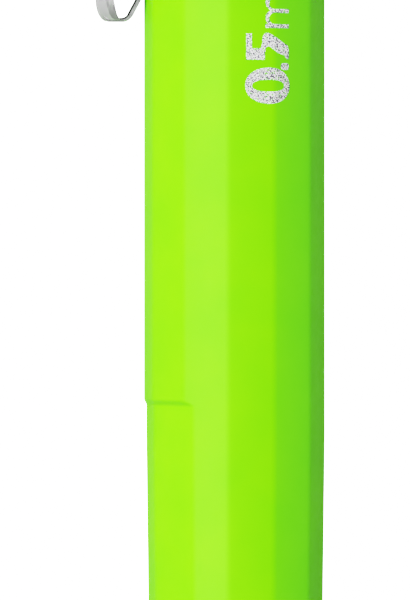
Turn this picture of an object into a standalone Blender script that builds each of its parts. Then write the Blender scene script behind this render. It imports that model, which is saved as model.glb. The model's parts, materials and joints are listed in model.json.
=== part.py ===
"""A 0.5 mm click pencil with a twelve-sided barrel.

It lies along X on one facet, with its push cap at -X, its tip at +X and its clip near the -Y side.
Stations are millimetres from the push cap's end, and radii are millimetres from the axis.
The origin is on the resting facet, under the axis, at the middle of the barrel's parallel stretch.
"""

import math

import bmesh
import bpy
from mathutils import Matrix

MM = 0.001

# Overall
LENGTH = 142.6
ORIGIN_STATION = 42.0
SIDES = 12
FLAT = 4.39
EDGE_RADIUS = 1.0
AXIS_HEIGHT = FLAT

# Barrel
BARREL_TAIL = 9.3
BARREL_SHOULDER = 14.0
TAPER_START = 69.0
TAPER_SLOPE = 0.0117
BODY_END = 96.7
BARREL_FRONT = 123.7
TAIL_NECK = 4.05
GRIP_CORE = 3.5
TAIL_BORE = 3.5
MAIN_BORE = 2.65
FRONT_BORE = 3.0
FRONT_BORE_START = 111.0

# Recessed panel, on the clip's facet and the one at each side of it
PANEL_START = 67.3
PANEL_END = 94.6
PANEL_DEPTHS = {-60: 0.18, -90: 0.12, -120: 0.12}

# Clip, turned a little past the -Y side towards the resting facet
CLIP_TURN = 9
CLIP_ROOT = 10.2
CLIP_TIP = 48.12
CLIP_OUTER = 7.0
CLIP_PIVOT = 4.54
CLIP_WIDTH = 3.0
CLIP_DEPTH = 0.82
CLIP_CHAMFER = 0.47
CLIP_SHEET = 0.21
CLIP_BEND = 0.5
TONGUE_WIDTH = 1.8
TONGUE_ANGLE = 28
TONGUE_FOOT = 4.62

# Push mechanism
TUBE_OUTER = 2.3
TUBE_INNER = 1.95
CAP_OUTER = 3.0
CAP_INNER = 2.42
CHUCK_BODY = 0.95
CHUCK_HEAD = 1.45
LEAD_RADIUS = 0.28
LEAD_LENGTH = 60.0
SPRING_RADIUS = 2.1
SPRING_WIRE = 0.18
SPRING_TURNS = 9

# Grip
GRIP_INNER = 3.6
GRIP_OUTER = 4.15
GRIP_START = 98.6
GRIP_END = 123.4
GRIP_GROOVES = 9
GROOVE_DEPTH = 0.28
GROOVE_WIDTH = 0.9

SHARP_EDGE = 32

MATERIALS = {
    "lime_plastic": ((0.20, 0.80, 0.005), 0.35, 0.0),
    "silver_steel": ((0.62, 0.62, 0.62), 0.3, 1.0),
    "bright_nickel": ((0.72, 0.71, 0.69), 0.18, 1.0),
    "satin_aluminium": ((0.70, 0.71, 0.72), 0.28, 1.0),
    "brass": ((0.78, 0.57, 0.22), 0.3, 1.0),
    "spring_steel": ((0.45, 0.45, 0.46), 0.3, 1.0),
    "black_rubber": ((0.02, 0.02, 0.02), 0.75, 0.0),
    "white_rubber": ((0.85, 0.85, 0.83), 0.7, 0.0),
    "clear_tube": ((0.72, 0.74, 0.74), 0.25, 0.0),
    "grey_plastic": ((0.20, 0.20, 0.21), 0.45, 0.0),
    "graphite": ((0.04, 0.04, 0.045), 0.4, 0.3),
}


def clear_scene():
    for obj in list(bpy.data.objects):
        bpy.data.objects.remove(obj)


def new_collection(name):
    made = bpy.data.collections.new(name)
    bpy.context.scene.collection.children.link(made)
    return made


def make_material(name):
    colour, roughness, metallic = MATERIALS[name]
    made = bpy.data.materials.get(name) or bpy.data.materials.new(name)
    made.use_nodes = True
    shader = made.node_tree.nodes["Principled BSDF"]
    shader.inputs["Base Color"].default_value = (*colour, 1.0)
    shader.inputs["Roughness"].default_value = roughness
    shader.inputs["Metallic"].default_value = metallic
    return made


def place(obj, material):
    """Puts an object on the pencil's axis, in the parts or, with no material, in the cutters."""
    obj.location.z = AXIS_HEIGHT * MM
    if material is None:
        obj.hide_render = True
        obj.display_type = "WIRE"
        CUTTERS.objects.link(obj)
        return obj
    obj.data.materials.append(make_material(material))
    PARTS.objects.link(obj)
    return obj


def along(station):
    return (station - ORIGIN_STATION) * MM


def signed_area(profile):
    after = profile[1:] + profile[:1]
    return sum(x * r2 - x2 * r for (x, r), (x2, r2) in zip(profile, after)) / 2


def lathe(name, profile, material, steps=40):
    """Turns (station, radius) points about the axis. A profile that starts on the axis makes a solid end."""
    if signed_area(profile) < 0:
        profile = profile[::-1]
    solid = min(r for _, r in profile) == 0
    if solid:
        while not (profile[0][1] == 0 and profile[-1][1] == 0):
            profile = profile[1:] + profile[:1]
    points = [(along(s), r * MM, 0) for s, r in profile]
    edges = [(i, i + 1) for i in range(len(points) - 1)]
    if not solid:
        edges.append((len(points) - 1, 0))
    mesh = bpy.data.meshes.new(name)
    mesh.from_pydata(points, edges, [])
    obj = bpy.data.objects.new(name, mesh)
    turn = obj.modifiers.new("turn", "SCREW")
    turn.axis = "X"
    turn.steps = steps
    turn.render_steps = steps
    turn.use_merge_vertices = True
    turn.merge_threshold = 0.000001
    turn.use_smooth_shade = False
    return place(obj, material)


def combine(obj, other, operation):
    boolean = obj.modifiers.new(other.name, "BOOLEAN")
    boolean.operation = operation
    boolean.solver = "EXACT"
    boolean.object = other


def cut(obj, cutter):
    combine(obj, cutter, "DIFFERENCE")


def unite(obj, other):
    combine(obj, other, "UNION")


def box(name, start, end, low, high, half_width, angle):
    """A cutter between two stations and two radii, on the side of the axis that angle turns +Z to."""
    middle = (along((start + end) / 2), 0, (low + high) / 2 * MM)
    size = ((end - start) * MM, 2 * half_width * MM, (high - low) * MM)
    cube = bmesh.new()
    bmesh.ops.create_cube(cube, size=1, matrix=Matrix.Translation(middle) @ Matrix.Diagonal((*size, 1)))
    mesh = bpy.data.meshes.new(name)
    cube.to_mesh(mesh)
    cube.free()
    obj = bpy.data.objects.new(name, mesh)
    obj.rotation_euler.x = -math.radians(angle)
    return place(obj, None)


def facet_radius(station):
    return FLAT - TAPER_SLOPE * max(0, station - TAPER_START)


def make_barrel():
    corner = 1 / math.cos(math.pi / SIDES)
    stations = (BARREL_TAIL, TAPER_START, BARREL_FRONT)
    outline = [(s, facet_radius(s) * corner) for s in stations]
    barrel = lathe(
        "barrel",
        [(BARREL_TAIL, 0), *outline, (BARREL_FRONT, 0)],
        "lime_plastic",
        steps=SIDES,
    )
    barrel.rotation_euler.x = math.pi / SIDES
    rounding = barrel.modifiers.new("long_edges", "BEVEL")
    rounding.limit_method = "ANGLE"
    rounding.angle_limit = math.radians(25)
    rounding.width = EDGE_RADIUS * math.tan(math.pi / SIDES) * MM
    rounding.segments = 2

    neck = [
        (BARREL_TAIL - 1, TAIL_NECK),
        (BARREL_SHOULDER, TAIL_NECK),
        (BARREL_SHOULDER + 0.6, 4.62),
        (BARREL_SHOULDER + 0.6, 7),
        (BARREL_TAIL - 1, 7),
    ]
    cut(barrel, lathe("neck_cutter", neck, None, 48))
    core = [
        (BARREL_FRONT + 1, GRIP_CORE),
        (BODY_END, GRIP_CORE),
        (BODY_END, 3.85),
        (BODY_END - 0.5, 4.35),
        (BODY_END - 0.5, 7),
        (BARREL_FRONT + 1, 7),
    ]
    cut(barrel, lathe("core_cutter", core, None, 48))
    bore = [
        (BARREL_TAIL - 1, 0),
        (BARREL_TAIL - 1, TAIL_BORE),
        (17.3, TAIL_BORE),
        (17.3, MAIN_BORE),
        (FRONT_BORE_START, MAIN_BORE),
        (FRONT_BORE_START, FRONT_BORE),
        (BARREL_FRONT + 1, FRONT_BORE),
        (BARREL_FRONT + 1, 0),
    ]
    cut(barrel, lathe("bore_cutter", bore, None, 40))
    for angle, depth in PANEL_DEPTHS.items():
        floor = facet_radius(PANEL_START) - depth
        name = f"panel_cutter_{-angle}"
        slab = box(name, PANEL_START, PANEL_END, floor, FLAT + 2, 3, angle)
        for vertex in slab.data.vertices:
            vertex.co.z -= TAPER_SLOPE * (vertex.co.x - along(PANEL_START))
        cut(barrel, slab)


def make_tail():
    bush = [
        (7.9, 3.1),
        (7.9, 4.0),
        (8.1, 4.2),
        (9.2, 4.2),
        (9.2, 3.44),
        (17.0, 3.44),
        (17.0, 3.1),
    ]
    lathe("tail_bush", bush, "bright_nickel", 44)
    band = [(9.45, 4.1), (9.45, 4.3), (9.55, 4.35), (13.7, 4.35), (13.8, 4.3), (13.8, 4.1)]
    lathe("clip_band", band, "silver_steel", 44)
    cap = [
        (0, 0),
        (0, 2.3),
        (0.15, 2.65),
        (0.4, 2.88),
        (0.8, CAP_OUTER),
        (12.9, CAP_OUTER),
        (12.9, CAP_INNER),
        (1.2, CAP_INNER),
        (1.2, 0),
    ]
    lathe("push_cap", cap, "bright_nickel", 40)


def arc(centre, radii, start, end, count):
    """Points on an ellipse in the (station, radius) plane, with angles in degrees."""
    angles = [math.radians(start + (end - start) * i / count) for i in range(count + 1)]
    return [(centre[0] + radii[0] * math.cos(a), centre[1] + radii[1] * math.sin(a)) for a in angles]


def place_on_clip(obj, material):
    """Puts an object whose own frame has the clip's pivot as its origin and -Y away from the barrel."""
    turn = math.radians(CLIP_TURN)
    place(obj, material)
    obj.rotation_euler.x = turn
    obj.location.x = along(CLIP_ROOT)
    obj.location.y = -CLIP_PIVOT * math.cos(turn) * MM
    obj.location.z -= CLIP_PIVOT * math.sin(turn) * MM
    return obj


def channel_section(outer, half, depth):
    """(radius, across) round the arm: a roof with chamfered shoulders and a flange down each side."""
    low = outer - depth
    inner = half - CLIP_SHEET
    roof = outer - CLIP_SHEET
    slope = CLIP_CHAMFER - 0.4 * CLIP_SHEET
    right = [
        (outer, half - CLIP_CHAMFER),
        (outer - CLIP_CHAMFER, half),
        (low, half),
        (low, inner),
        (roof - slope, inner),
        (roof, inner - slope),
    ]
    return right + [(radius, -across) for radius, across in right[::-1]]


def make_arm():
    """Lofts the pressed channel from its root to its nose, where it narrows and grows shallow."""
    nose = (1.12, 0.6)
    line = arc((CLIP_ROOT + 0.8, CLIP_OUTER - 0.5), (0.6, 0.5), 155, 90, 3)
    line += arc((CLIP_TIP - nose[0], CLIP_OUTER - nose[1]), nose, 90, 18, 5)
    loft = bmesh.new()
    rings = []
    for s, outer in line:
        part = max(0, (s - CLIP_TIP + nose[0]) / nose[0])
        ring = channel_section(outer, CLIP_WIDTH / 2 - 0.35 * part**2, CLIP_DEPTH - 0.12 * part**2)
        rings.append([loft.verts.new(clip_point(s, radius, across)) for radius, across in ring])
    for near, far in zip(rings, rings[1:]):
        for k in range(len(near)):
            loft.faces.new((near[k - 1], near[k], far[k], far[k - 1]))
    loft.faces.new(rings[0])
    loft.faces.new(rings[-1])
    bmesh.ops.recalc_face_normals(loft, faces=loft.faces)
    mesh = bpy.data.meshes.new("clip_arm")
    loft.to_mesh(mesh)
    loft.free()
    return place_on_clip(bpy.data.objects.new("clip_arm", mesh), "silver_steel")


def clip_point(station, radius, across=0):
    return ((station - CLIP_ROOT) * MM, (CLIP_PIVOT - radius) * MM, across * MM)


def make_strip(name, line):
    """Sheet metal bent along a line of (station, radius) points, as a closed mesh to join to the arm."""
    curve = bpy.data.curves.new(name, "CURVE")
    curve.dimensions = "2D"
    curve.fill_mode = "NONE"
    curve.extrude = TONGUE_WIDTH / 2 * MM
    spline = curve.splines.new("POLY")
    spline.points.add(len(line) - 1)
    for point, place_on_line in zip(spline.points, line):
        point.co = (*clip_point(*place_on_line), 1)
    bent = bpy.data.objects.new(name, curve)
    sheet = bent.modifiers.new("sheet", "SOLIDIFY")
    sheet.thickness = CLIP_SHEET * MM
    sheet.offset = 0
    sheet.use_even_offset = True
    CUTTERS.objects.link(bent)
    graph = bpy.context.evaluated_depsgraph_get()
    mesh = bpy.data.meshes.new_from_object(bent.evaluated_get(graph))
    bpy.data.objects.remove(bent)
    tidy = bmesh.new()
    tidy.from_mesh(mesh)
    bmesh.ops.remove_doubles(tidy, verts=tidy.verts, dist=0.001 * MM)
    bmesh.ops.recalc_face_normals(tidy, faces=tidy.faces)
    tidy.to_mesh(mesh)
    tidy.free()
    return place_on_clip(bpy.data.objects.new(name, mesh), None)


def make_clip():
    clip = make_arm()
    middle = CLIP_TIP - CLIP_SHEET / 2
    tongue = [(CLIP_TIP - 0.75, 6.66), (CLIP_TIP - 0.42, 6.58), (CLIP_TIP - 0.2, 6.44), (middle, 6.2)]
    tongue += arc((middle - CLIP_BEND, 5.75), (CLIP_BEND, CLIP_BEND), 0, TONGUE_ANGLE - 90, 5)
    s, r = tongue[-1]
    tongue.append((s - (r - TONGUE_FOOT) / math.tan(math.radians(TONGUE_ANGLE)), TONGUE_FOOT))
    unite(clip, make_strip("tongue", tongue))

    root = [(CLIP_ROOT + 0.9, CLIP_PIVOT)]
    root += arc((CLIP_ROOT + 0.4, CLIP_PIVOT + 0.4), (0.4, 0.4), 270, 180, 3)
    root += arc((CLIP_ROOT + 0.7, CLIP_OUTER - 0.8), (0.7, 0.68), 180, 90, 3)
    root.append((CLIP_ROOT + 1.6, CLIP_OUTER - 0.12))
    unite(clip, make_strip("root", root))


def make_grip():
    pitch = (GRIP_END - GRIP_START) / (GRIP_GROOVES + 1)
    outline = [(GRIP_START, GRIP_INNER), (GRIP_START, GRIP_OUTER - 0.2), (GRIP_START + 0.2, GRIP_OUTER)]
    for i in range(1, GRIP_GROOVES + 1):
        middle = GRIP_START + i * pitch
        for side in (-1, 1):
            steps = ((0.5, 0), (0.25, GROOVE_DEPTH))
            for part, depth in steps if side < 0 else steps[::-1]:
                outline.append((middle + side * part * GROOVE_WIDTH, GRIP_OUTER - depth))
    outline += [(GRIP_END - 0.2, GRIP_OUTER), (GRIP_END, GRIP_OUTER - 0.2), (GRIP_END, GRIP_INNER)]
    lathe("grip_sleeve", outline, "black_rubber", 32)
    ring = [(96.9, 3.6), (96.9, 3.98), (97.0, 4.06), (98.3, 4.06), (98.4, 3.98), (98.4, 3.6)]
    lathe("trim_ring", ring, "bright_nickel", 40)


def make_tip():
    cone = [
        (113.0, 2.4),
        (113.0, 2.75),
        (113.3, 2.9),
        (123.9, 2.9),
        (123.9, 3.85),
        (124.1, 4.0),
        (125.6, 4.0),
        (125.8, 3.88),
        (138.4, 1.3),
        (138.9, 1.12),
        (139.2, 0.85),
        (139.2, 0.56),
        (137.0, 0.56),
        (137.0, 1.1),
        (129.2, 1.1),
        (129.2, 1.45),
        (127.2, 1.45),
        (127.2, 1.62),
        (122.4, 1.62),
        (122.4, 2.4),
    ]
    lathe("tip_cone", cone, "satin_aluminium", 40)
    retainer = [(127.4, 0.31), (127.4, 1.38), (129.0, 1.38), (129.0, 0.31)]
    lathe("lead_retainer", retainer, "black_rubber", 24)
    slider = [(133.0, 0.53), (133.0, 1.0), (136.6, 1.0), (136.6, 0.53)]
    lathe("pipe_slider", slider, "brass", 24)
    pipe = [(133.2, 0.34), (133.2, 0.5), (141.8, 0.5), (142.0, 0.44), (142.0, 0.34)]
    lathe("guide_pipe", pipe, "bright_nickel", 24)


def make_clutch():
    sleeve = [
        (111.2, 1.15),
        (111.2, 2.88),
        (112.8, 2.88),
        (112.8, 2.3),
        (121.9, 2.3),
        (121.9, 1.98),
        (114.0, 1.98),
        (114.0, 1.15),
    ]
    lathe("clutch_sleeve", sleeve, "brass", 32)
    ring = [(119.2, 1.05), (119.2, 1.8), (119.3, 1.9), (121.5, 1.9), (121.6, 1.8), (121.6, 1.6), (119.6, 1.07)]
    lathe("clutch_ring", ring, "brass", 32)
    chuck = [
        (99.8, 0.5),
        (99.8, CHUCK_BODY),
        (119.5, CHUCK_BODY),
        (121.4, CHUCK_HEAD),
        (123.6, CHUCK_HEAD),
        (124.0, 1.2),
        (124.0, 0.32),
        (118.0, 0.32),
        (117.6, 0.5),
    ]
    collet = lathe("chuck", chuck, "brass", 30)
    for angle in (0, 120, 240):
        cut(collet, box(f"slot_cutter_{angle}", 110.5, 125, 0.1, 2, 0.16, angle))
    coupler = [
        (93.0, 1.4),
        (93.0, 1.78),
        (93.2, 1.88),
        (98.0, 1.88),
        (98.0, 2.4),
        (99.2, 2.4),
        (99.2, 1.6),
        (103.8, 1.6),
        (104.0, 1.5),
        (104.0, 1.02),
        (99.6, 1.02),
        (99.6, 0.42),
        (98.0, 0.42),
    ]
    lathe("chuck_coupler", coupler, "grey_plastic", 32)


def make_spring():
    curve = bpy.data.curves.new("return_spring", "CURVE")
    curve.dimensions = "3D"
    curve.bevel_depth = SPRING_WIRE * MM
    curve.bevel_resolution = 1
    curve.use_fill_caps = True
    spline = curve.splines.new("POLY")
    start = 99.2 + 0.05 + SPRING_WIRE
    end = 111.2 - 0.05 - SPRING_WIRE
    count = SPRING_TURNS * 14
    spline.points.add(count)
    for i, point in enumerate(spline.points):
        part = i / count
        closed = 0.5 - 0.5 * math.cos(math.pi * part)
        station = start + (end - start) * (0.7 * part + 0.3 * closed)
        angle = 2 * math.pi * SPRING_TURNS * part
        point.co = (
            along(station),
            SPRING_RADIUS * math.cos(angle) * MM,
            SPRING_RADIUS * math.sin(angle) * MM,
            1,
        )
    place(bpy.data.objects.new("return_spring", curve), "spring_steel")


def make_refill():
    tube = [(6.5, TUBE_INNER), (6.5, TUBE_OUTER), (97.8, TUBE_OUTER), (97.8, TUBE_INNER)]
    lathe("lead_tube", tube, "clear_tube", 32)
    eraser = [
        (1.6, 0),
        (1.6, 1.65),
        (1.85, 1.88),
        (11.5, 1.88),
        (11.5, 0.24),
        (8.5, 0.24),
        (8.5, 0),
    ]
    lathe("eraser", eraser, "white_rubber", 32)
    lathe("clean_out_needle", [(8.7, 0), (8.7, 0.2), (24.6, 0.2), (25.0, 0.08), (25.0, 0)], "spring_steel", 12)
    in_use = [(95.0, 0), (95.0, LEAD_RADIUS), (LENGTH - 0.08, LEAD_RADIUS), (LENGTH, 0.2), (LENGTH, 0)]
    lathe("lead_in_use", in_use, "graphite", 16)
    start = 31.5
    for number, (y, z) in enumerate(((0, -1.62), (0.66, -1.48), (-0.66, -1.48)), 1):
        end = start + LEAD_LENGTH
        spare = [(start, 0), (start, LEAD_RADIUS), (end, LEAD_RADIUS), (end, 0)]
        lead = lathe(f"spare_lead_{number}", spare, "graphite", 12)
        lead.location.y = y * MM
        lead.location.z += z * MM


def shade_round(obj):
    """Keeps an object's finished mesh, smooth except at its real edges."""
    graph = bpy.context.evaluated_depsgraph_get()
    mesh = bpy.data.meshes.new_from_object(obj.evaluated_get(graph))
    obj.modifiers.clear()
    obj.data = mesh
    mesh.shade_smooth()
    mesh.set_sharp_from_angle(angle=math.radians(SHARP_EDGE))


clear_scene()
PARTS = new_collection("lead_holder")
CUTTERS = new_collection("cutters")
CUTTERS.hide_render = True
make_barrel()
make_tail()
make_clip()
make_grip()
make_tip()
make_clutch()
make_spring()
make_refill()
for part in PARTS.objects:
    if part.type == "MESH":
        shade_round(part)
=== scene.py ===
"""The looks of the click pencil: fine surfaces, materials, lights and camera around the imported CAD.

Lengths are millimetres in the frame's directions until make_mesh turns them into metres.
Turned shapes are lists of (x, radius) about the pencil's axis. Angles round the axis are degrees
from straight up, positive towards +Y, so the clip's side is at about -90.
"""

import json
import math

import bmesh
import bpy
from mathutils import Matrix, Vector


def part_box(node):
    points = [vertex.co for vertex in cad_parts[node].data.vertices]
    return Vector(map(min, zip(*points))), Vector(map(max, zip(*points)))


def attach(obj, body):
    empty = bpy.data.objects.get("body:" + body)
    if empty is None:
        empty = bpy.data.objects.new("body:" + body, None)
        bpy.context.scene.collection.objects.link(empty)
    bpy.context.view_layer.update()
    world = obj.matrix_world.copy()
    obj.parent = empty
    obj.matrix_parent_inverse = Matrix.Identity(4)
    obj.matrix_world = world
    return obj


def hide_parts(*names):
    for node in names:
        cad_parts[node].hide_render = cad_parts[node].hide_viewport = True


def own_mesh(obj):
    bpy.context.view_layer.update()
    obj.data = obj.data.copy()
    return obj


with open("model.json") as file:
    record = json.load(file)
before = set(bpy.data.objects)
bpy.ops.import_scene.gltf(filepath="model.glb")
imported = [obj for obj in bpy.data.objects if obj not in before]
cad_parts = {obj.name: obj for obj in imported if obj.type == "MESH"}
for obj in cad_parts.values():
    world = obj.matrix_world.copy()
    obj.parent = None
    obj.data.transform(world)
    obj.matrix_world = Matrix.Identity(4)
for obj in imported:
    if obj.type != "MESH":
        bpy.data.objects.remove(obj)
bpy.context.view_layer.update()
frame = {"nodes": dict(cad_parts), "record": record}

MM = 0.001

AXIS_Z = sum(corner.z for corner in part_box("lead_in_use")) / 2 / MM
BARREL = "barrel_body"

WHITE_LEVEL = 4.0

# The barrel's outline and its recessed panel
SIDES = 12
FLAT = 4.485
EDGE_RADIUS = 1.0
CROWN_RADIUS = 14.0
ARC_STEPS = 4
CROWN_STEPS = 4
TAPER_START = 27.0
TAPER_SLOPE = 0.0117
PANEL_DEPTHS = {300: 0.18, 270: 0.12, 240: 0.12}
PANEL_START = 25.15
PANEL_END = 52.5
PANEL_ARCH = 0.16
PANEL_ARCH_LIMIT = 0.24
PANEL_LIP = 0.34

# The clip
CLIP_ANGLE = -99.0
CLIP_OUTER = 7.0
CLIP_DEPTH = 0.86
CLIP_WIDTH = 3.0
CLIP_SHEET = 0.21
CLIP_CHAMFER = 0.49
CLIP_TIP = 6.09
CLIP_NOSE = (1.12, 0.6)
CLIP_BEND = 0.5
TONGUE_ANGLE = 28
CLIP_TONGUE = 1.8
TONGUE_SHEET = (0.15, 0.27)
TONGUE_FOOT = 4.75

# The printed lead size
MARK_START = 10.35
MARK_BASELINE = 2.07
MARK_LIFT = 0.012
CAP_HEIGHT = 2.36
OVERSHOOT = 0.05
X_HEIGHT = 1.37


# ---------------------------------------------------------------- meshes

def extent(node):
    """A CAD node's two ends along X and its largest radius, in millimetres."""
    low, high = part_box(node)
    return low.x / MM, high.x / MM, (high.y - low.y) / 2 / MM


def make_mesh(name, points, faces, slot, body=BARREL, replaces=(), sharp=32):
    """A piece from points in millimetres about the pencil's axis."""
    mesh = bpy.data.meshes.new(name)
    mesh.from_pydata([(x * MM, y * MM, (z + AXIS_Z) * MM) for x, y, z in points], [], faces)
    mesh.validate()
    obj = bpy.data.objects.new(name, mesh)
    bpy.context.scene.collection.objects.link(obj)
    return finish_piece(obj, slot, body, replaces, sharp)


def finish_piece(obj, slot, body, replaces=(), sharp=32):
    """Closes the mesh, shades it and gives it its material, body and slot."""
    whole = bmesh.new()
    whole.from_mesh(obj.data)
    bmesh.ops.remove_doubles(whole, verts=whole.verts, dist=1e-7)
    bmesh.ops.recalc_face_normals(whole, faces=whole.faces)
    whole.to_mesh(obj.data)
    whole.free()
    obj.data.shade_smooth()
    obj.data.set_sharp_from_angle(angle=math.radians(sharp))
    obj.data.materials.clear()
    obj.data.materials.append(MATERIALS[slot])
    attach(obj, body)
    if replaces:
        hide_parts(*replaces)
    return obj


def loft(rings, closed):
    """Faces between rings of equal length, and between the last and the first if closed."""
    count = len(rings[0])
    points = [point for ring in rings for point in ring]
    faces = []
    for i in range(len(rings) if closed else len(rings) - 1):
        a, b = i * count, (i + 1) % len(rings) * count
        for k in range(count):
            n = (k + 1) % count
            faces.append((a + k, a + n, b + n, b + k))
    return points, faces


def rounded(profile, radius, steps=3):
    """The profile's corners, apart from those on the axis, turned into arcs of up to this radius."""
    made = []
    for i, corner in enumerate(profile):
        here = Vector(corner)
        before = Vector(profile[i - 1]) - here
        after = Vector(profile[(i + 1) % len(profile)]) - here
        if here.y == 0 or before.length < 1e-6 or after.length < 1e-6:
            made.append(corner)
            continue
        half = before.angle(after) / 2
        if half > math.radians(86):
            made.append(corner)
            continue
        reach = min(radius / math.tan(half), 0.45 * before.length, 0.45 * after.length)
        start = here + before.normalized() * reach
        end = here + after.normalized() * reach
        for step in range(steps + 1):
            t = step / steps
            made.append(tuple(start * (1 - t) ** 2 + here * 2 * t * (1 - t) + end * t ** 2))
    return made


def turned(name, profile, slot, body=BARREL, replaces=(), edge=0.06, steps=96, sharp=32):
    """A turned piece, hollow unless its profile starts and ends on the axis."""
    solid = profile[0][1] == 0
    line = rounded(profile, edge)
    rings = []
    for x, radius in line:
        angles = [2 * math.pi * k / steps for k in range(steps)]
        rings.append([(x, radius * math.sin(a), radius * math.cos(a)) for a in angles])
    points, faces = loft(rings, not solid)
    return make_mesh(name, points, faces, slot, body, replaces, sharp)


# ---------------------------------------------------------------- materials

def node_material(name):
    made = bpy.data.materials.new(name)
    made.use_nodes = True
    nodes, links = made.node_tree.nodes, made.node_tree.links
    return made, nodes, links, nodes["Principled BSDF"]


def noise(nodes, links, scale, detail=2.0, stretch=(1, 1, 1), roughness=0.5):
    """Noise in the object's own coordinates. Scale is in cells per millimetre."""
    where = nodes.new("ShaderNodeTexCoord")
    mapping = nodes.new("ShaderNodeMapping")
    mapping.inputs["Scale"].default_value = [1000 * scale * s for s in stretch]
    made = nodes.new("ShaderNodeTexNoise")
    made.inputs["Scale"].default_value = 1.0
    made.inputs["Detail"].default_value = detail
    made.inputs["Roughness"].default_value = roughness
    links.new(where.outputs["Object"], mapping.inputs["Vector"])
    links.new(mapping.outputs["Vector"], made.inputs["Vector"])
    return made.outputs["Fac"]


def spread(nodes, links, value, low, high, start=0.3, end=0.7):
    """The noise's middle range spread over low to high."""
    made = nodes.new("ShaderNodeMapRange")
    made.inputs["From Min"].default_value = start
    made.inputs["From Max"].default_value = end
    made.inputs["To Min"].default_value = low
    made.inputs["To Max"].default_value = high
    links.new(value, made.inputs["Value"])
    return made.outputs["Result"]


def tint(nodes, links, value, low, high):
    """A colour between two, by a 0 to 1 value."""
    made = nodes.new("ShaderNodeMix")
    made.data_type = "RGBA"
    made.inputs["A"].default_value = (*low, 1)
    made.inputs["B"].default_value = (*high, 1)
    links.new(value, made.inputs["Factor"])
    return made.outputs["Result"]


def bump(nodes, links, shader, height, distance, strength=1.0):
    made = nodes.new("ShaderNodeBump")
    made.inputs["Strength"].default_value = strength
    made.inputs["Distance"].default_value = distance * MM
    links.new(height, made.inputs["Height"])
    links.new(made.outputs["Normal"], shader.inputs["Normal"])


def surface(name, low, high, rough, metallic=0.0, mottle=0.8, grain=6.0, stretch=(1, 1, 1),
            relief=0.004, detail=2.0):
    """A finish whose colour wanders between two tones, with a fine grain in its gloss and relief."""
    made, nodes, links, shader = node_material(name)
    shader.inputs["Metallic"].default_value = metallic
    wander = spread(nodes, links, noise(nodes, links, mottle), 0, 1)
    links.new(tint(nodes, links, wander, low, high), shader.inputs["Base Color"])
    fine = noise(nodes, links, grain, detail, stretch)
    links.new(spread(nodes, links, fine, *rough), shader.inputs["Roughness"])
    bump(nodes, links, shader, fine, relief)
    return made


def lime_plastic():
    made = surface("lime_plastic", (0.185, 0.83, 0.0), (0.205, 0.86, 0.0), (0.42, 0.50),
                   mottle=0.35, grain=9.0, relief=0.0012)
    shader = made.node_tree.nodes["Principled BSDF"]
    shader.inputs["Specular IOR Level"].default_value = 0.11
    return made


def foil():
    """Worn hot-stamped foil: a bright film with dark flecks, and pinholes that show the lime plastic."""
    made, nodes, links, shader = node_material("silver_foil")
    shader.inputs["Metallic"].default_value = 0.05
    glitter = noise(nodes, links, 16.0, 2.0, roughness=0.7)
    fleck = spread(nodes, links, glitter, 0, 1, 0.46, 0.51)
    film = tint(nodes, links, fleck, (0.10, 0.09, 0.13), (1.0, 1.0, 1.0))
    wear = noise(nodes, links, 9.0, 2.0, roughness=0.6)
    kept = spread(nodes, links, wear, 0, 1, 0.34, 0.38)
    seen = tint(nodes, links, kept, (0.195, 0.84, 0.0), (1.0, 1.0, 1.0))
    links.new(film, seen.node.inputs["B"])
    links.new(seen, shader.inputs["Base Color"])
    shader.inputs["Roughness"].default_value = 0.42
    bump(nodes, links, shader, fleck, 0.012)
    return made


def steel_painted_fold_shade():
    """The clip's folded tongue: duller steel, with painted shade: faces turned towards -X, into the fold,
    are coloured near black.
    """
    made, nodes, links, shader = node_material("steel_painted_fold_shade")
    shader.inputs["Metallic"].default_value = 1.0
    where = nodes.new("ShaderNodeTexCoord")
    parts = nodes.new("ShaderNodeSeparateXYZ")
    links.new(where.outputs["Normal"], parts.inputs["Vector"])
    # Painted shade: the colour goes near black on faces whose normal points towards -X, into the fold,
    # where the arm would shade them.
    outside = spread(nodes, links, parts.outputs["X"], 0, 1, -0.25, -0.12)
    painted_fold_shade = tint(nodes, links, outside, (0.02, 0.02, 0.02), (0.52, 0.52, 0.52))
    links.new(painted_fold_shade, shader.inputs["Base Color"])
    fine = noise(nodes, links, 14.0, 2.0, (0.2, 1, 1))
    links.new(spread(nodes, links, fine, 0.28, 0.4), shader.inputs["Roughness"])
    bump(nodes, links, shader, fine, 0.0015)
    return made


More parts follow.
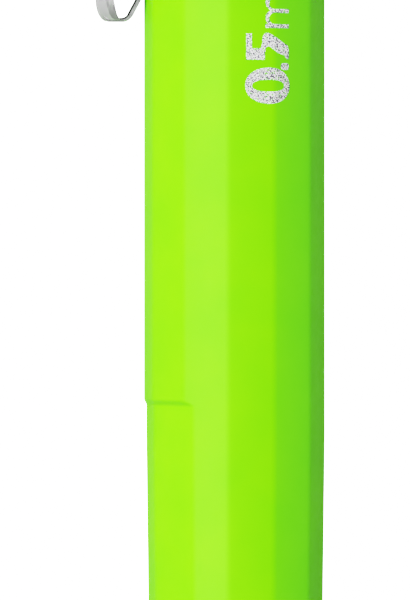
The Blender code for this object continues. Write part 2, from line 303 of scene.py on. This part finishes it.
MATERIALS = {
    "lime_plastic": lime_plastic(),
    "silver_foil": foil(),
    "steel_painted_fold_shade": steel_painted_fold_shade(),
    "silver_steel": surface("silver_steel", (0.76, 0.76, 0.76), (0.84, 0.84, 0.84), (0.30, 0.42), 1.0,
                            mottle=0.8, grain=14.0, stretch=(0.06, 1, 1), relief=0.0015),
    "bright_nickel": surface("bright_nickel", (0.68, 0.675, 0.66), (0.76, 0.755, 0.74), (0.12, 0.22),
                             1.0, mottle=0.5, grain=16.0, stretch=(1, 0.12, 0.12), relief=0.001),
    "satin_aluminium": surface("satin_aluminium", (0.66, 0.67, 0.68), (0.75, 0.76, 0.77), (0.22, 0.34),
                               1.0, mottle=0.5, grain=18.0, stretch=(1, 0.08, 0.08), relief=0.002),
    "brass": surface("brass", (0.70, 0.48, 0.17), (0.82, 0.60, 0.25), (0.22, 0.36), 1.0,
                     mottle=0.7, grain=15.0, stretch=(1, 0.1, 0.1), relief=0.0015),
    "spring_steel": surface("spring_steel", (0.40, 0.40, 0.41), (0.52, 0.52, 0.53), (0.22, 0.34), 1.0,
                            mottle=1.2, grain=14.0, relief=0.001),
    "black_rubber": surface("black_rubber", (0.012, 0.012, 0.013), (0.024, 0.024, 0.025), (0.55, 0.75),
                            mottle=0.6, grain=7.0, relief=0.008, detail=4.0),
    "white_rubber": surface("white_rubber", (0.78, 0.77, 0.74), (0.88, 0.88, 0.86), (0.6, 0.8),
                            mottle=0.9, grain=6.0, relief=0.01, detail=4.0),
    "clear_tube": surface("clear_tube", (0.66, 0.69, 0.70), (0.76, 0.78, 0.78), (0.16, 0.28),
                          mottle=0.3, grain=5.0, stretch=(0.1, 1, 1), relief=0.002),
    "grey_plastic": surface("grey_plastic", (0.17, 0.17, 0.18), (0.23, 0.23, 0.24), (0.38, 0.5),
                            mottle=0.8, grain=9.0, relief=0.003),
    "graphite": surface("graphite", (0.03, 0.03, 0.034), (0.06, 0.06, 0.066), (0.28, 0.42), 0.4,
                        mottle=2.0, grain=14.0, stretch=(0.2, 1, 1), relief=0.002),
}


# ---------------------------------------------------------------- barrel

def direction(angle):
    """(y, z) of an angle round the axis."""
    return Vector((math.sin(math.radians(angle)), math.cos(math.radians(angle))))


def crown_centre(angle, flat):
    """The centre of a facet's slightly crowned face."""
    return (flat - CROWN_RADIUS) * direction(angle)


def corner_centre(first, second):
    """The centre of the edge that is tangent to two crowned facets, from their centres."""
    middle = (first + second) / 2
    apart = (second - first) / 2
    out = Vector((-apart.y, apart.x)).normalized()
    if out.dot(middle) > 0:
        out = -out
    reach = CROWN_RADIUS - EDGE_RADIUS
    return middle + out * math.sqrt(reach**2 - apart.length_squared)


def heading(vector):
    return math.degrees(math.atan2(vector.x, vector.y))


def sweep(centre, radius, start, end, steps):
    """Points from one angle to another round a centre, without the last one."""
    turn = (end - start + 180) % 360 - 180
    return [centre + radius * direction(start + turn * i / steps) for i in range(steps)]


def section(x, limit, recess):
    """The barrel's outline at x, with its panel recessed by a share of its depth, inside a radius."""
    flat = FLAT - TAPER_SLOPE * max(0.0, x - TAPER_START)
    turn = 360 // SIDES
    flats = [flat - recess * PANEL_DEPTHS.get(turn * k, 0) for k in range(SIDES)]
    centres = [crown_centre(turn * k, flats[k]) for k in range(SIDES)]
    corners = [corner_centre(centres[k], centres[(k + 1) % SIDES]) for k in range(SIDES)]
    points = []
    for k in range(SIDES):
        start, end = heading(corners[k - 1] - centres[k]), heading(corners[k] - centres[k])
        points += sweep(centres[k], CROWN_RADIUS, start, end, CROWN_STEPS)
        after = heading(corners[k] - centres[(k + 1) % SIDES])
        points += sweep(corners[k], EDGE_RADIUS, end, after, ARC_STEPS)
    return [point * min(1.0, limit / point.length) for point in points]


def panel_shift(point):
    """How far the arched end of the panel has moved towards its middle at a point of the outline."""
    angle = math.atan2(point.x, point.y)
    off = 1 - math.cos(angle + math.pi / 2)
    return PANEL_ARCH * min(off, PANEL_ARCH_LIMIT)


def eased(share):
    """A smooth step from 0 to 1."""
    share = min(max(share, 0.0), 1.0)
    return share * share * (3 - 2 * share)


def make_barrel():
    tail, front, _ = extent("barrel")
    whole = 99.0
    core = 3.5
    neck = 4.05
    shoulder = -28.0
    body_end = 54.7
    tail_bore, tail_step = 3.5, -24.7
    main_bore = 2.65
    front_bore, front_step = 3.0, 69.0
    lip_steps = 6
    rings = []

    def ring(x, limit=whole, recess=0.0, arch=0.0):
        line = section(x, limit, recess)
        rings.append([(x + arch * panel_shift(p), p.x, p.y) for p in line])

    ring(tail, neck - 0.08)
    ring(tail + 0.08, neck)
    ring(shoulder - 0.02, neck)
    for i in range(9):
        ring(shoulder + 0.6 * i / 8, neck + 0.6 * i / 8)
    ring(shoulder + 0.9)
    for x in (0.0, 20.0):
        ring(x)
    for i in range(-1, lip_steps + 2):
        ring(PANEL_START + PANEL_LIP * i / lip_steps, recess=eased(i / lip_steps), arch=1.0)
    for x in (TAPER_START, 38.0):
        ring(x, recess=1.0)
    for i in range(-1, lip_steps + 2):
        ring(PANEL_END + PANEL_LIP * i / lip_steps, recess=eased(1 - i / lip_steps), arch=-1.0)
    for i in range(7):
        ring(body_end - 0.5 + 0.5 * i / 6, 4.42 - 0.6 * (i / 6) ** 1.5)
    ring(body_end, core + 0.02)
    ring(body_end + 0.02, core)
    ring(front - 0.1, core)
    ring(front, core - 0.1)
    bevel = 0.05
    bores = [(front, front_bore + bevel), (front - bevel, front_bore), (front_step, front_bore),
             (front_step, main_bore), (tail_step, main_bore), (tail_step, tail_bore),
             (tail + bevel, tail_bore), (tail, tail_bore + bevel)]
    for x, radius in bores:
        ring(x, radius)
    points, faces = loft(rings, True)
    return make_mesh("barrel_shell", points, faces, "lime_plastic", replaces=["barrel"], sharp=28)


# ---------------------------------------------------------------- printed lead size

def arc(centre, radii, start, end, steps):
    """Points on an ellipse, with angles in degrees."""
    angles = [math.radians(start + (end - start) * i / steps) for i in range(steps + 1)]
    return [(centre[0] + radii[0] * math.cos(a), centre[1] + radii[1] * math.sin(a)) for a in angles]


def squarish(centre, radii, power, steps=48):
    """A closed oval between an ellipse and a rounded rectangle."""
    made = []
    for i in range(steps):
        a = 2 * math.pi * i / steps
        c, s = math.cos(a), math.sin(a)
        x = math.copysign(abs(c) ** (2 / power), c)
        y = math.copysign(abs(s) ** (2 / power), s)
        made.append((centre[0] + radii[0] * x, centre[1] + radii[1] * y))
    return made


def zero(u):
    """A numeral zero, heavy at its sides. It starts at u along the line of marks."""
    width, side, end = 1.82, 0.62, 0.36
    middle = (u + width / 2, CAP_HEIGHT / 2)
    half = CAP_HEIGHT / 2 + OVERSHOOT
    outer = squarish(middle, (width / 2, half), 2.1)
    inner = squarish(middle, (width / 2 - side, half - end), 2.4)
    return [outer, inner]


def decimal_point(u):
    """A numeral's full stop."""
    return [squarish((u + 0.18, 0.25), (0.18, 0.25), 3.0, 20)]


def five(u):
    """A numeral five whose bowl is a bent, slanting stroke."""
    width, bar, stem, waist = 1.32, 0.30, 0.58, 1.40
    top = CAP_HEIGHT
    line = [(u, waist), (u, top), (u + width, top), (u + width, top - bar), (u + stem, top - bar)]
    line += [(u + stem, waist + 0.22)]
    line += arc((u + 1.0, 1.27), (0.37, 0.27), 110, -25, 8)
    line += [(u + 1.1, 0.72), (u + 0.86, 0.32)]
    line += arc((u + 0.52, 0.24), (0.28, 0.24), -10, -90, 6)
    line += [(u + 0.06, 0.0), (u + 0.03, 0.1)]
    line += [(u + 0.24, 0.34), (u + 0.36, 0.72)]
    line += arc((u + 0.50, 1.20), (0.17, 0.16), -15, 110, 6)
    line += [(u + 0.40, waist)]
    return [line]


def letter_m(u):
    """A lower-case m with three thin stems."""
    stroke, pitch = 0.2, 0.76
    line = [(u, 0), (u, X_HEIGHT), (u + stroke, X_HEIGHT), (u + stroke, X_HEIGHT - 0.16)]
    for k in (0, 1):
        left, right = u + k * pitch + stroke, u + (k + 1) * pitch
        centre = (left + right) / 2
        outer_end = right + stroke
        last = 25 if k == 0 else 0
        reach = (outer_end - left) / 2 + 0.02
        line += arc((centre + 0.02, X_HEIGHT - 0.42), (reach, 0.42), 150, last, 8)
        if k == 0:
            line += [(outer_end - 0.02, X_HEIGHT - 0.2)]
    outer_end = u + 2 * pitch + stroke
    line += [(outer_end, 0), (outer_end - stroke, 0)]
    for k in (1, 0):
        left, right = u + k * pitch + stroke, u + (k + 1) * pitch
        centre = ((left + right) / 2, X_HEIGHT - 0.46)
        line += arc(centre, ((right - left) / 2, 0.26), 0, 180, 8)
        line += [(left, 0), (left - stroke, 0)]
    return [line[:-1]]


class Wrap:
    """The barrel's outline unrolled from the middle of its top facet towards +Y."""

    def __init__(self):
        outline = section(0.0, 99.0, 0.0)
        count = len(outline) // SIDES * 3
        self.points = outline[CROWN_STEPS // 2:count]
        self.normals = []
        self.places = [0.0]
        for i, here in enumerate(self.points):
            k = i + CROWN_STEPS // 2
            along = outline[k + 1] - outline[k - 1]
            self.normals.append(Vector((-along.y, along.x)).normalized())
            if i:
                self.places.append(self.places[-1] + (here - self.points[i - 1]).length)

    def at(self, across, lift):
        """(y, z) at a distance round the outline, lifted off it."""
        side = 1.0 if across >= 0 else -1.0
        across = abs(across)
        i = 1
        while i < len(self.places) - 1 and self.places[i] < across:
            i += 1
        t = (across - self.places[i - 1]) / (self.places[i] - self.places[i - 1])
        place = self.points[i - 1].lerp(self.points[i], t)
        normal = self.normals[i - 1].lerp(self.normals[i], t).normalized()
        place = place + normal * lift
        return side * place.x, place.y


def make_mark(name, loops):
    """A thin foil shape on the barrel. It is cut into strips over the facet's rounded edge."""
    curve = bpy.data.curves.new(name, "CURVE")
    curve.dimensions = "2D"
    curve.fill_mode = "BOTH"
    curve.extrude = MARK_LIFT
    for loop in loops:
        spline = curve.splines.new("POLY")
        spline.points.add(len(loop) - 1)
        spline.use_cyclic_u = True
        for place, (u, v) in zip(spline.points, loop):
            place.co = (u, v, 0, 1)
    drawn = bpy.data.objects.new(name, curve)
    bpy.context.scene.collection.objects.link(drawn)
    bpy.context.view_layer.update()
    graph = bpy.context.evaluated_depsgraph_get()
    mesh = bpy.data.meshes.new_from_object(drawn.evaluated_get(graph))
    bpy.data.objects.remove(drawn)
    whole = bmesh.new()
    whole.from_mesh(mesh)
    bmesh.ops.remove_doubles(whole, verts=whole.verts, dist=1e-5)
    wrap = Wrap()
    for place in wrap.places[1:] + [-p for p in wrap.places[1:]]:
        everything = whole.verts[:] + whole.edges[:] + whole.faces[:]
        bmesh.ops.bisect_plane(whole, geom=everything, plane_co=(0, MARK_BASELINE - place, 0),
                               plane_no=(0, 1, 0))
    for vertex in whole.verts:
        u, v, lift = vertex.co
        y, z = wrap.at(MARK_BASELINE - v, lift)
        vertex.co = ((MARK_START - u) * MM, y * MM, (z + AXIS_Z) * MM)
    whole.to_mesh(mesh)
    whole.free()
    obj = bpy.data.objects.new(name, mesh)
    bpy.context.scene.collection.objects.link(obj)
    bpy.ops.object.select_all(action="DESELECT")
    mark = finish_piece(obj, "silver_steel", BARREL, sharp=40)
    mark.data.materials[0] = MATERIALS["silver_foil"]
    return mark


def make_marks():
    make_mark("mark_zero", zero(0.0))
    make_mark("mark_point", decimal_point(1.70))
    make_mark("mark_five", five(2.20))
    make_mark("mark_unit_1", letter_m(3.80))
    make_mark("mark_unit_2", letter_m(5.86))


# ---------------------------------------------------------------- clip

def turn_clip(points):
    """Points (x, across, out) of the clip, turned to its place round the axis."""
    out = direction(CLIP_ANGLE)
    side = Vector((-out.y, out.x))
    made = []
    for x, across, radius in points:
        place = out * radius + side * across
        made.append((x, place.x, place.y))
    return made


def clip_outer_line():
    """(x, radius) down the arm's outer face, from its root over its rounded nose."""
    root = -31.8
    line = arc((root + 0.8, CLIP_OUTER - 0.5), (0.6, 0.5), 165, 90, 6)
    line += [(x, CLIP_OUTER) for x in (-20.0, -8.0)]
    line += arc((CLIP_TIP - CLIP_NOSE[0], CLIP_OUTER - CLIP_NOSE[1]), CLIP_NOSE, 90, 12, 12)
    return line


def make_clip_arm():
    """The arm: a pressed channel with chamfered shoulders, closed by its rounded tip."""
    line = clip_outer_line()
    half = CLIP_WIDTH / 2
    rings = []
    for x, radius in line:
        part = max(0.0, (x - CLIP_TIP + CLIP_NOSE[0]) / CLIP_NOSE[0])
        narrow = half - 0.35 * part**2
        deep = CLIP_DEPTH + 0.3 * part * (0.72 - part)
        chamfer = CLIP_CHAMFER
        flange = radius - deep
        inner = chamfer - 0.1
        outside = [(-narrow, flange), (-narrow, radius - chamfer), (-narrow + chamfer, radius)]
        outside += [(narrow - chamfer, radius), (narrow, radius - chamfer), (narrow, flange)]
        hollow, crest = narrow - CLIP_SHEET, radius - CLIP_SHEET
        inside = [(hollow, flange), (hollow, crest - inner), (hollow - inner, crest)]
        inside += [(-hollow + inner, crest), (-hollow, crest - inner), (-hollow, flange)]
        rings.append(turn_clip([(x, across, out) for across, out in outside + inside]))
    points, faces = loft(rings, False)
    last = len(points) - len(rings[0])
    faces.append(tuple(range(len(rings[0]) - 1, -1, -1)))
    faces.append(tuple(range(last, len(points))))
    return points, faces


def make_clip():
    points, faces = make_clip_arm()
    arm = make_mesh("clip_arm_channel", points, faces, "silver_steel", body="clip")

    thin, thick = TONGUE_SHEET
    middle = CLIP_TIP - thin / 2
    line = [(CLIP_TIP - 0.95, 6.70), (CLIP_TIP - 0.6, 6.66)]
    line += arc((middle - 0.42, 6.30), (0.42, 0.34), 80, 0, 6)
    line += arc((middle - CLIP_BEND, 5.71), (CLIP_BEND, CLIP_BEND), 0, TONGUE_ANGLE - 90, 8)
    x, radius = line[-1]
    run = (radius - TONGUE_FOOT) / math.tan(math.radians(TONGUE_ANGLE))
    for i in range(1, 7):
        t = i / 6
        line.append((x - run * t, radius + (TONGUE_FOOT - radius) * t))
    sheet = [thin + (thick - thin) * min(max((i - 9) / 8, 0), 1) for i in range(len(line))]
    tongue = ribbon("clip_tongue", line, sheet, CLIP_TONGUE, 0.08)
    # This steel carries painted shade, dark on the tongue's faces turned into the fold.
    tongue.data.materials[0] = MATERIALS["steel_painted_fold_shade"]
    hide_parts("clip_arm")

    root = [(-30.9, 4.54)]
    root += arc((-31.4, 4.94), (0.4, 0.4), 270, 180, 6)
    root += arc((-31.1, 6.2), (0.7, 0.68), 180, 90, 8)
    root += [(-30.2, 6.88)]
    ribbon("clip_root", root, [CLIP_SHEET] * len(root), CLIP_TONGUE, 0.015)


def ribbon(name, line, sheet, width, inner_edge):
    """A strip of sheet, of a thickness at each point, along an (x, radius) line in the clip's plane."""
    rings = []
    for i, here in enumerate(line):
        before, after = Vector(line[max(i - 1, 0)]), Vector(line[min(i + 1, len(line) - 1)])
        along = (after - before).normalized()
        normal = Vector((-along.y, along.x))
        ring = []
        corners = [(-1, -1), (1, -1), (1, 1), (-1, 1)]
        for a, b in corners:
            edge = 0.01 if b > 0 else min(inner_edge, 0.45 * sheet[i])
            for da, db in ((0, edge), (edge, 0)) if a * b > 0 else ((edge, 0), (0, edge)):
                across = a * (width / 2 - da)
                up = b * (sheet[i] / 2 - db)
                place = Vector(here) + normal * up
                ring.append((place.x, across, place.y))
        rings.append(turn_clip(ring))
    points, faces = loft(rings, False)
    count = len(rings[0])
    faces.append(tuple(range(count - 1, -1, -1)))
    faces.append(tuple(range(len(points) - count, len(points))))
    return make_mesh(name, points, faces, "silver_steel", body="clip", sharp=40)


# ---------------------------------------------------------------- turned pieces

def make_tail():
    tail, front, radius = extent("tail_bush")
    flange = tail + 1.3
    bore, plug, bevel = 3.1, 3.44, 0.12
    turned("tail_bush_fine",
           [(tail, bore), (tail, radius - bevel), (tail + bevel, radius), (flange, radius), (flange, plug),
            (front, plug), (front, bore)],
           "bright_nickel", replaces=["tail_bush"], edge=0.1)
    start, end, radius = extent("clip_band")
    bore = 4.1
    turned("clip_collar", [(start, bore), (start, radius), (end, radius), (end, bore)],
           "silver_steel", replaces=["clip_band"], edge=0.08)
    start, end, radius = extent("push_cap")
    hollow, crown = 2.42, start + 1.2
    turned("push_cap_shell",
           [(start, 0), (start, 1.9), (start + 0.12, 2.55), (start + 0.8, radius), (end, radius),
            (end, hollow), (crown, hollow), (crown, 0)],
           "bright_nickel", body="push_cap_body", replaces=["push_cap"], edge=0.35)


def make_refill():
    start, end, radius = extent("lead_tube")
    bore = 1.95
    turned("lead_tube_fine", [(start, bore), (start, radius), (end, radius), (end, bore)],
           "clear_tube", body="knock", replaces=["lead_tube"], edge=0.08, steps=72)
    start, end, radius = extent("eraser")
    needle_hole, needle_end = 0.24, end - 3
    turned("eraser_plug",
           [(start, 0), (start, radius), (end, radius), (end, needle_hole), (needle_end, needle_hole),
            (needle_end, 0)],
           "white_rubber", body="knock", replaces=["eraser"], edge=0.3, steps=72)
    start, end, radius = extent("lead_in_use")
    turned("lead_point", [(start, 0), (start, radius), (end - 0.1, radius), (end, 0.17), (end, 0)],
           "graphite", body="lead", replaces=["lead_in_use"], edge=0.03, steps=32)


def make_grip():
    start, end, radius = extent("grip_sleeve")
    bore, grooves = 3.6, 9
    pitch = (end - start) / (grooves + 1)
    depth, width = 0.28, 0.9
    outline = [(start, bore), (start, radius)]
    for i in range(1, grooves + 1):
        middle = start + i * pitch
        for k in range(7):
            t = k / 6
            outline.append((middle + width * (t - 0.5), radius - depth * math.sin(math.pi * t) ** 1.3))
    outline += [(end, radius), (end, bore)]
    turned("grip_rubber", outline, "black_rubber", replaces=["grip_sleeve"], edge=0.12)
    start, end, radius = extent("trim_ring")
    turned("trim_ring_fine", [(start, bore), (start, radius), (end, radius), (end, bore)],
           "bright_nickel", replaces=["trim_ring"], edge=0.12)


def make_tip():
    start, end, radius = extent("tip_cone")
    face = start + 10.9
    thread, hollow = 2.85, 2.4
    outside = [(start, hollow), (start, thread), (face, thread), (face, radius), (face + 1.7, radius),
               (face + 1.85, radius - 0.12), (end - 0.8, 1.3), (end - 0.3, 1.1), (end, 0.82)]
    bores = [(0.56, 0, 2.2), (1.1, 2.2, 10.0), (1.45, 10.0, 12.0), (1.62, 12.0, 16.8)]
    inside = []
    for bore, near, far in bores:
        inside += [(end - near, bore), (end - far, bore)]
    inside.append((end - bores[-1][2], hollow))
    turned("tip_cone_fine", outside + inside, "satin_aluminium", replaces=["tip_cone"], edge=0.1)
    start, end, radius = extent("guide_pipe")
    bore = 0.34
    turned("guide_pipe_fine", [(start, bore), (start, radius), (end, radius), (end, bore)],
           "bright_nickel", body="guide", replaces=["guide_pipe"], edge=0.05, steps=48)


def make_spring():
    """The return spring, wound with its turns closer together at its ends."""
    start, end, outer = extent("return_spring")
    wire, turns, sides = 0.18, 9, 10
    middle = outer - wire
    first, last = start + wire, end - wire
    rings = []
    count = turns * 28
    for i in range(count + 1):
        part = i / count
        eased = 0.5 - 0.5 * math.cos(math.pi * part)
        x = first + (last - first) * (0.7 * part + 0.3 * eased)
        angle = 2 * math.pi * turns * part
        out = Vector((0, math.cos(angle), math.sin(angle)))
        ring = []
        for k in range(sides):
            a = 2 * math.pi * k / sides
            place = out * (middle + wire * math.cos(a)) + Vector((x + wire * math.sin(a), 0, 0))
            ring.append(tuple(place))
        rings.append(ring)
    points, faces = loft(rings, False)
    faces.append(tuple(range(sides - 1, -1, -1)))
    faces.append(tuple(range(len(points) - sides, len(points))))
    coil = make_mesh("return_coil", points, faces, "spring_steel", replaces=["return_spring"])
    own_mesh(coil)


def finish_cad_nodes():
    """The hidden CAD nodes that stay get the material of their slot."""
    for part in frame["record"]["subparts"]:
        node = frame["nodes"][part["node"]]
        if not node.hide_render:
            for place in node.material_slots:
                place.material = MATERIALS[part["material_slot"]]


# ---------------------------------------------------------------- stage

def facing(angle):
    """A direction square to the pencil's axis, by its angle round it."""
    turn = direction(angle)
    return Vector((0, turn.x, turn.y))


def make_camera():
    """It looks square at the pencil's side, from a little towards the clip, with the tip downwards."""
    tilt = -11.0
    distance = 420.0
    frame_height = 30.34
    back = facing(tilt)
    right = facing(tilt + 90)
    up = Vector((-1, 0, 0))
    aim = Vector((20.17, 0, AXIS_Z)) - right * 1.484
    data = bpy.data.cameras.new("camera")
    data.sensor_width = 36
    data.lens = 36 * distance / frame_height
    data.clip_start, data.clip_end = 0.01, 50
    camera = bpy.data.objects.new("camera", data)
    place = (aim + back * distance) * MM
    turn = Matrix((right, up, back)).transposed().to_4x4()
    camera.matrix_world = Matrix.Translation(place) @ turn
    bpy.context.scene.collection.objects.link(camera)
    bpy.context.scene.camera = camera


def area_light(name, angle, along, distance, size, power):
    """A soft box aimed at the pencil, placed by its angle round the axis and its place along it.

    Its size is (round the axis, along it).
    """
    data = bpy.data.lights.new(name, "AREA")
    data.shape = "RECTANGLE"
    data.size, data.size_y = size[1] * MM, size[0] * MM
    data.energy = power
    light = bpy.data.objects.new(name, data)
    aim = Vector((20, 0, AXIS_Z))
    place = aim + facing(angle) * distance + Vector((along, 0, 0))
    light.location = place * MM
    light.rotation_euler = (place - aim).to_track_quat("Z", "Y").to_euler()
    bpy.context.scene.collection.objects.link(light)


def pale_to_camera(nodes, links, seen, given):
    """A strength for a backdrop that the camera sees as white and that lights the pencil less."""
    path = nodes.new("ShaderNodeLightPath")
    made = nodes.new("ShaderNodeMapRange")
    made.inputs["To Min"].default_value = given
    made.inputs["To Max"].default_value = seen
    links.new(path.outputs["Is Camera Ray"], made.inputs["Value"])
    return made.outputs["Result"]


def make_floor():
    mesh = bpy.data.meshes.new("floor")
    reach = 6.0
    mesh.from_pydata([(-reach, -reach, 0), (reach, -reach, 0), (reach, reach, 0), (-reach, reach, 0)],
                     [], [(0, 1, 2, 3)])
    floor = bpy.data.objects.new("floor", mesh)
    floor.location.z = -0.1 * MM
    bpy.context.scene.collection.objects.link(floor)
    made, nodes, links, shader = node_material("pale_floor")
    shader.inputs["Base Color"].default_value = (0.38, 0.38, 0.38, 1)
    shader.inputs["Roughness"].default_value = 0.9
    shader.inputs["Specular IOR Level"].default_value = 0.0
    shader.inputs["Emission Color"].default_value = (1, 1, 1, 1)
    links.new(pale_to_camera(nodes, links, WHITE_LEVEL, 0.0), shader.inputs["Emission Strength"])
    mesh.materials.append(made)


def make_stage():
    make_floor()
    world = bpy.data.worlds.new("studio")
    world.use_nodes = True
    nodes, links = world.node_tree.nodes, world.node_tree.links
    sky = nodes["Background"]
    sky.inputs["Color"].default_value = (1, 1, 1, 1)
    links.new(pale_to_camera(nodes, links, WHITE_LEVEL, 0.22), sky.inputs["Strength"])
    bpy.context.scene.world = world
    area_light("key_box", -43, -150, 600, (380, 1200), 10.4)
    area_light("fill_box", 75, 0, 600, (320, 900), 1.1)
    expose()


def expose():
    """A film-like response: middle tones as they are, bright ones rolling off gently to white."""
    view = bpy.context.scene.view_settings
    view.view_transform = "Standard"
    view.look = "None"
    view.use_curve_mapping = True
    curve = view.curve_mapping
    curve.white_level = (WHITE_LEVEL, WHITE_LEVEL, WHITE_LEVEL)
    response = [(0.2, 0.2), (0.4, 0.415), (0.6, 0.62), (0.87, 0.73), (1.13, 0.79), (1.4, 0.86),
                (1.7, 0.92), (2.4, 0.97)]
    line = curve.curves[3]
    for level, shown in response:
        line.points.new(level / WHITE_LEVEL, shown)
    curve.update()


make_barrel()
make_marks()
make_clip()
make_tail()
make_refill()
make_grip()
make_tip()
make_spring()
finish_cad_nodes()
make_camera()
make_stage()
